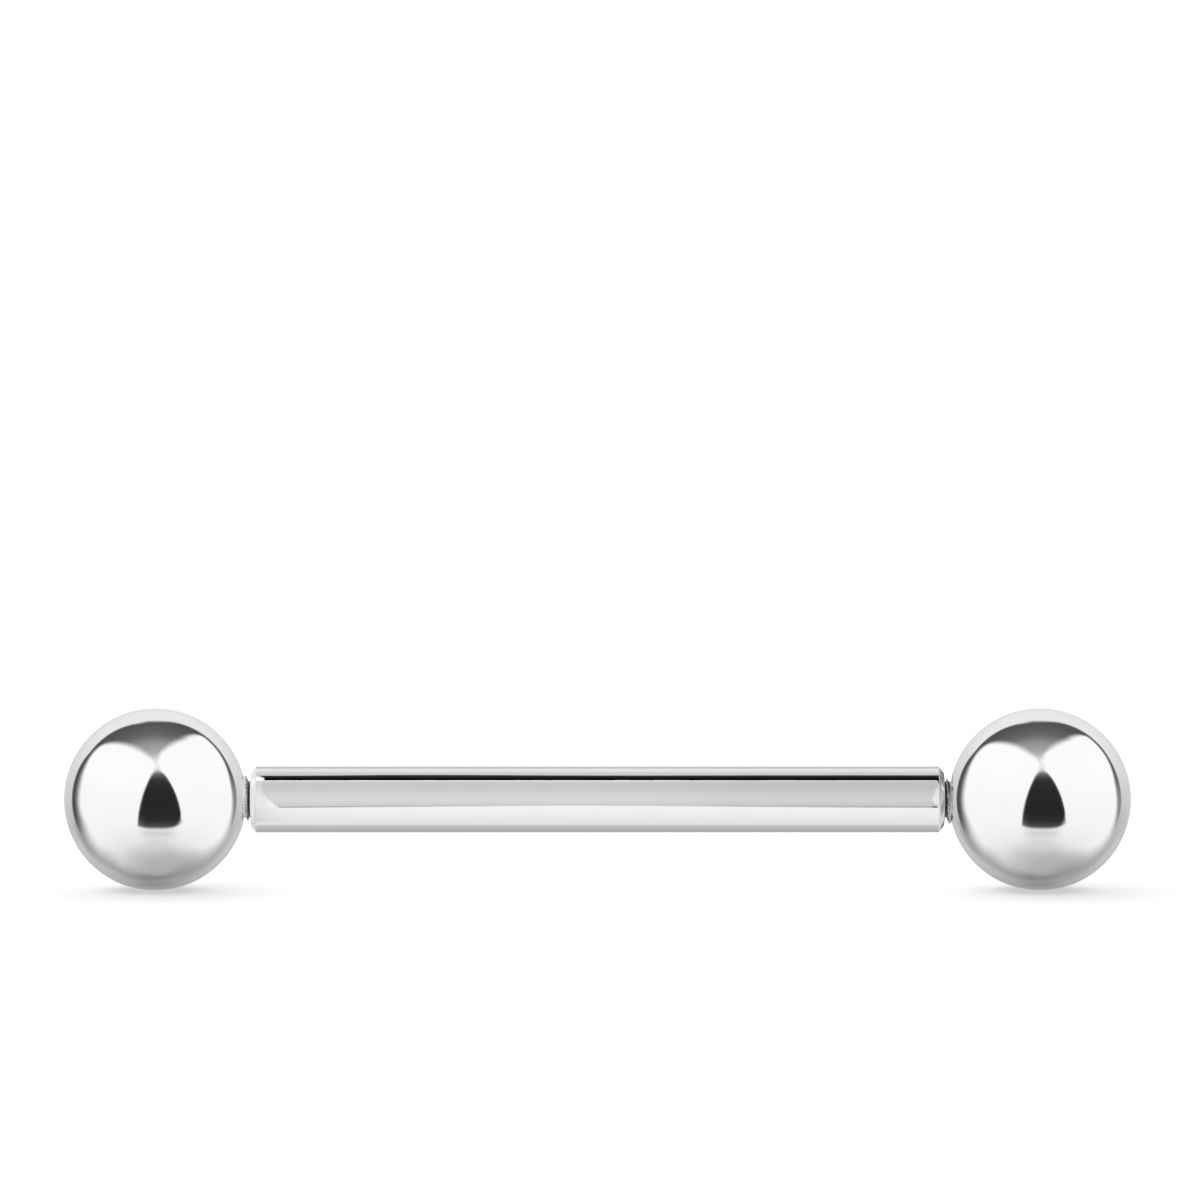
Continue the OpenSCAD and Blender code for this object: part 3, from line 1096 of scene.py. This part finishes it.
# %% [markdown]
# A piece is made from its sheets in three steps. They are laid along the bar, their equal corners are
# merged so that the skin closes, and the object gets its materials and its place in the frame. Blender
# shades the closed skin smoothly, and keeps an edge sharp where two faces meet at more than a set angle.
# A skin with an open edge would show as a slit in the steel and as a hole in a printed model, so open
# edges are counted.

# %% Closing a skin
MERGE = 0.0003 * MM
SHARP_FROM_DEG = 38


def lay_along_bar(corners, end):
    """Turns corners made along Z to lie along the bar, towards its right end (1) or its left end (-1)."""
    x, y, z = corners.T
    return np.stack([end * z, y, ball_r - end * x], axis=-1)


def closed_mesh(name, sheets):
    """One smooth mesh from sheets of corners and faces, with its equal corners merged."""
    corners = np.concatenate([sheet[0] for sheet in sheets])
    starts = np.cumsum([0] + [len(sheet[0]) for sheet in sheets[:-1]])
    faces = np.concatenate([sheet[1] + start for sheet, start in zip(sheets, starts)])
    mesh = bpy.data.meshes.new(name)
    mesh.from_pydata(corners.tolist(), [], faces.tolist())
    work = bmesh.new()
    work.from_mesh(mesh)
    bmesh.ops.remove_doubles(work, verts=work.verts, dist=MERGE)
    bmesh.ops.dissolve_degenerate(work, dist=MERGE / 2, edges=work.edges)
    bmesh.ops.recalc_face_normals(work, faces=work.faces)
    open_edges = sum(not edge.is_manifold for edge in work.edges)
    work.to_mesh(mesh)
    work.free()
    mesh.shade_smooth()
    mesh.set_sharp_from_angle(angle=math.radians(SHARP_FROM_DEG))
    print(f"{name}: {len(mesh.polygons)} faces, {open_edges} open edges")
    return mesh


# %% Placing a piece
def placed_piece(name, mesh, body, node, materials):
    """An object that rides on a body, takes these materials and hides the node that it stands for."""
    for material in materials:
        mesh.materials.append(material)
    piece = bpy.data.objects.new(name, mesh)
    bpy.context.scene.collection.objects.link(piece)
    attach(piece, body)
    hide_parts(node)
    return piece


print("each piece stands for one node of", sorted(frame["nodes"]))

# %% [markdown]
# The bar is ground from wire of 14 gauge. At each end it steps down to the thread: a short bevel that the
# ball's rounded side can sit against, a flat shoulder, and a short neck where the die stops cutting. Half
# of the bar is made, from its middle to its tip, and laid out twice, which makes both threads
# right-handed as they are on the real bar.

# %% Half of the bar
BAR_SIDES = 96
BAR_STATIONS = 16
EDGE_ROUND = 0.08 * MM
NECK_ROUND = 0.04 * MM
NECK_LEN = 0.045 * MM
RIDGE_FULL_AT = 0.08 * MM
TIP_R = 0.38 * MM

neck_end = shoulder_x + NECK_LEN
stations = np.linspace(0, shoulder_x - 4 * BEVEL_LEN, BAR_STATIONS)
shank_corners = [(x, bar_r, 0) for x in stations] + [
    (shoulder_x - 1.4 * BEVEL_LEN, bar_r, 0),
    (shoulder_x - BEVEL_LEN, bar_r, EDGE_ROUND),
    (shoulder_x, bar_r - BEVEL_DROP, EDGE_ROUND),
    (shoulder_x, ROOT_R, NECK_ROUND),
    (neck_end, ROOT_R, 0),
]


def bar_thread_out(height, along_axis):
    """Radius of the bar's thread: it rises out of the neck and is chamfered at the tip."""
    rising = soft_step(neck_end, shoulder_x + RIDGE_FULL_AT, along_axis)
    thread = ROOT_R + THREAD_DEPTH * height * rising
    return np.minimum(thread, TIP_R + thread_end_x - along_axis)


half_bar = [
    spun_sheet(turned_profile(shank_corners), BAR_SIDES),
    wound_sheet(neck_end, thread_end_x, ridge_form, BAR_SIDES, bar_thread_out),
    spun_sheet([(thread_end_x, TIP_R), (thread_end_x, TIP_R / 2), (thread_end_x, 0)], BAR_SIDES),
]
print("half of the bar has", sum(len(faces) for _, faces in half_bar), "faces before merging")

# %% The bar
POLISHED = 0
CUT = 1

bar_sheets = [(lay_along_bar(corners, end), faces) for end in (1, -1) for corners, faces in half_bar]
bar_skin = closed_mesh("turned_bar", bar_sheets)
for face in bar_skin.polygons:
    off_axis = math.hypot(face.center.y, face.center.z - ball_r)
    past_shoulder = abs(face.center.x) - shoulder_x
    on_shoulder = past_shoulder > -MERGE and off_axis < THREAD_R
    face.material_index = CUT if past_shoulder > NECK_LEN / 4 or on_shoulder else POLISHED
bar = placed_piece(
    "turned_bar", bar_skin, "bar", "bar", [bar_steel, thread_steel]
)
print("the thread and its neck are cut steel, the rest is polished")

# %% [markdown]
# Each ball starts as a sphere from a ball mill, and gets a blind hole that is tapped for the bar's
# thread. A Boolean cut could drill it, but its edge would be ragged on a mirror. So the profile runs from
# the far pole over the outside to the mouth of the hole, and back down the hole to the point that the
# drill left. The thread inside has the bar's own pitch and winding, with about two hundredths of a
# millimetre of air all round.

# %% Outside of a ball
BALL_SIDES = 128
BALL_ROWS = 90
MOUTH_R = 0.622 * MM
NUT_R = 0.62 * MM
MOUTH_ROUND = 0.012 * MM

mouth_turn = math.asin(MOUTH_R / ball_r)
outside_turns = np.linspace(math.pi, mouth_turn, BALL_ROWS)[:-1]
outside = [(ball_x - ball_r * math.cos(turn), ball_r * math.sin(turn), 0) for turn in outside_turns]
mouth_x = ball_x - ball_r * math.cos(mouth_turn)
hole_start = mouth_x + MOUTH_R - NUT_R
ball_profile = turned_profile(outside + [(mouth_x, MOUTH_R, MOUTH_ROUND), (hole_start, NUT_R, 0)])
print(f"mouth {2000 * MOUTH_R:.2f} mm wide")

# %% Hole of a ball
NUT_RIDGE_R = 0.475 * MM
HOLE_SPARE = 0.15 * MM
TAP_SPARE = 0.1 * MM
TAP_FADE = 0.12 * MM
DRILL_ANGLE_DEG = 118

hole_end = thread_end_x + HOLE_SPARE
drill_tip = hole_end + NUT_RIDGE_R / math.tan(math.radians(DRILL_ANGLE_DEG / 2))
tap_end = thread_end_x + TAP_SPARE
hole_bottom = [(tap_end, NUT_RIDGE_R), (hole_end, NUT_RIDGE_R), (drill_tip, 0)]


def nut_out(height, along_axis):
    """Radius of the hole's thread: a countersink cuts its start, and it fades where the tap stops."""
    fading = soft_step(tap_end, tap_end - TAP_FADE, along_axis)
    thread = NUT_RIDGE_R + (NUT_R - NUT_RIDGE_R) * (1 - height) * fading
    return np.maximum(thread, NUT_R - (along_axis - hole_start))


ball_sheets = [
    spun_sheet(ball_profile, BALL_SIDES),
    wound_sheet(hole_start, tap_end, nut_form, BALL_SIDES, nut_out),
    spun_sheet(hole_bottom, BALL_SIDES),
]
print(f"hole {1000 * (drill_tip - mouth_x):.2f} mm deep")

# %% Two balls
SKIN_DEPTH = 0.01 * MM

balls = {}
for side_name, end in ENDS:
    node = side_name + "_ball"
    name = side_name + "_threaded_ball"
    laid = [(lay_along_bar(corners, end), faces) for corners, faces in ball_sheets]
    ball_skin = closed_mesh(name, laid)
    centre = Vector((end * ball_x, 0, ball_r))
    for face in ball_skin.polygons:
        face.material_index = CUT if (face.center - centre).length < ball_r - SKIN_DEPTH else POLISHED
    balls[side_name] = placed_piece(
        name, ball_skin, node, node, [ball_steel, hole_steel]
    )
print("the holes are cut steel, the outsides are polished")

# %% [markdown]
# Now each tent is linked to its steel, and the lamps to the table. The bar and the balls don't show in
# each other, as they don't in the photograph, so each reflects its own tent and nothing else. They throw
# no light on the table either, because the tents that they would throw it from aren't really there. Only
# the balls shade the table: the photograph shows no shadow under the bar.

# %% Light linking
def linked(name, objects):
    """A collection that isn't in the scene and only lists objects for light linking."""
    group = bpy.data.collections.new(name)
    for item in objects:
        group.objects.link(item)
    return group


lit_bar = linked("lit_by_the_bar_tent", [bar])
for tent in bar_tents:
    tent.light_linking.receiver_collection = lit_bar
for side_name, tent in ball_tents.items():
    lit_ball = linked("lit_by_the_" + side_name + "_tent", [balls[side_name]])
    tent.light_linking.receiver_collection = lit_ball
lit_table = linked("lit_by_the_lamps", [table])
shading_balls = linked("shade_the_table", balls.values())
for lamp in lamps:
    lamp.light_linking.receiver_collection = lit_table
    lamp.light_linking.blocker_collection = shading_balls
for piece in [bar, *balls.values()]:
    piece.visible_glossy = False
    piece.visible_diffuse = False
print("linked", len(bpy.data.collections), "groups")
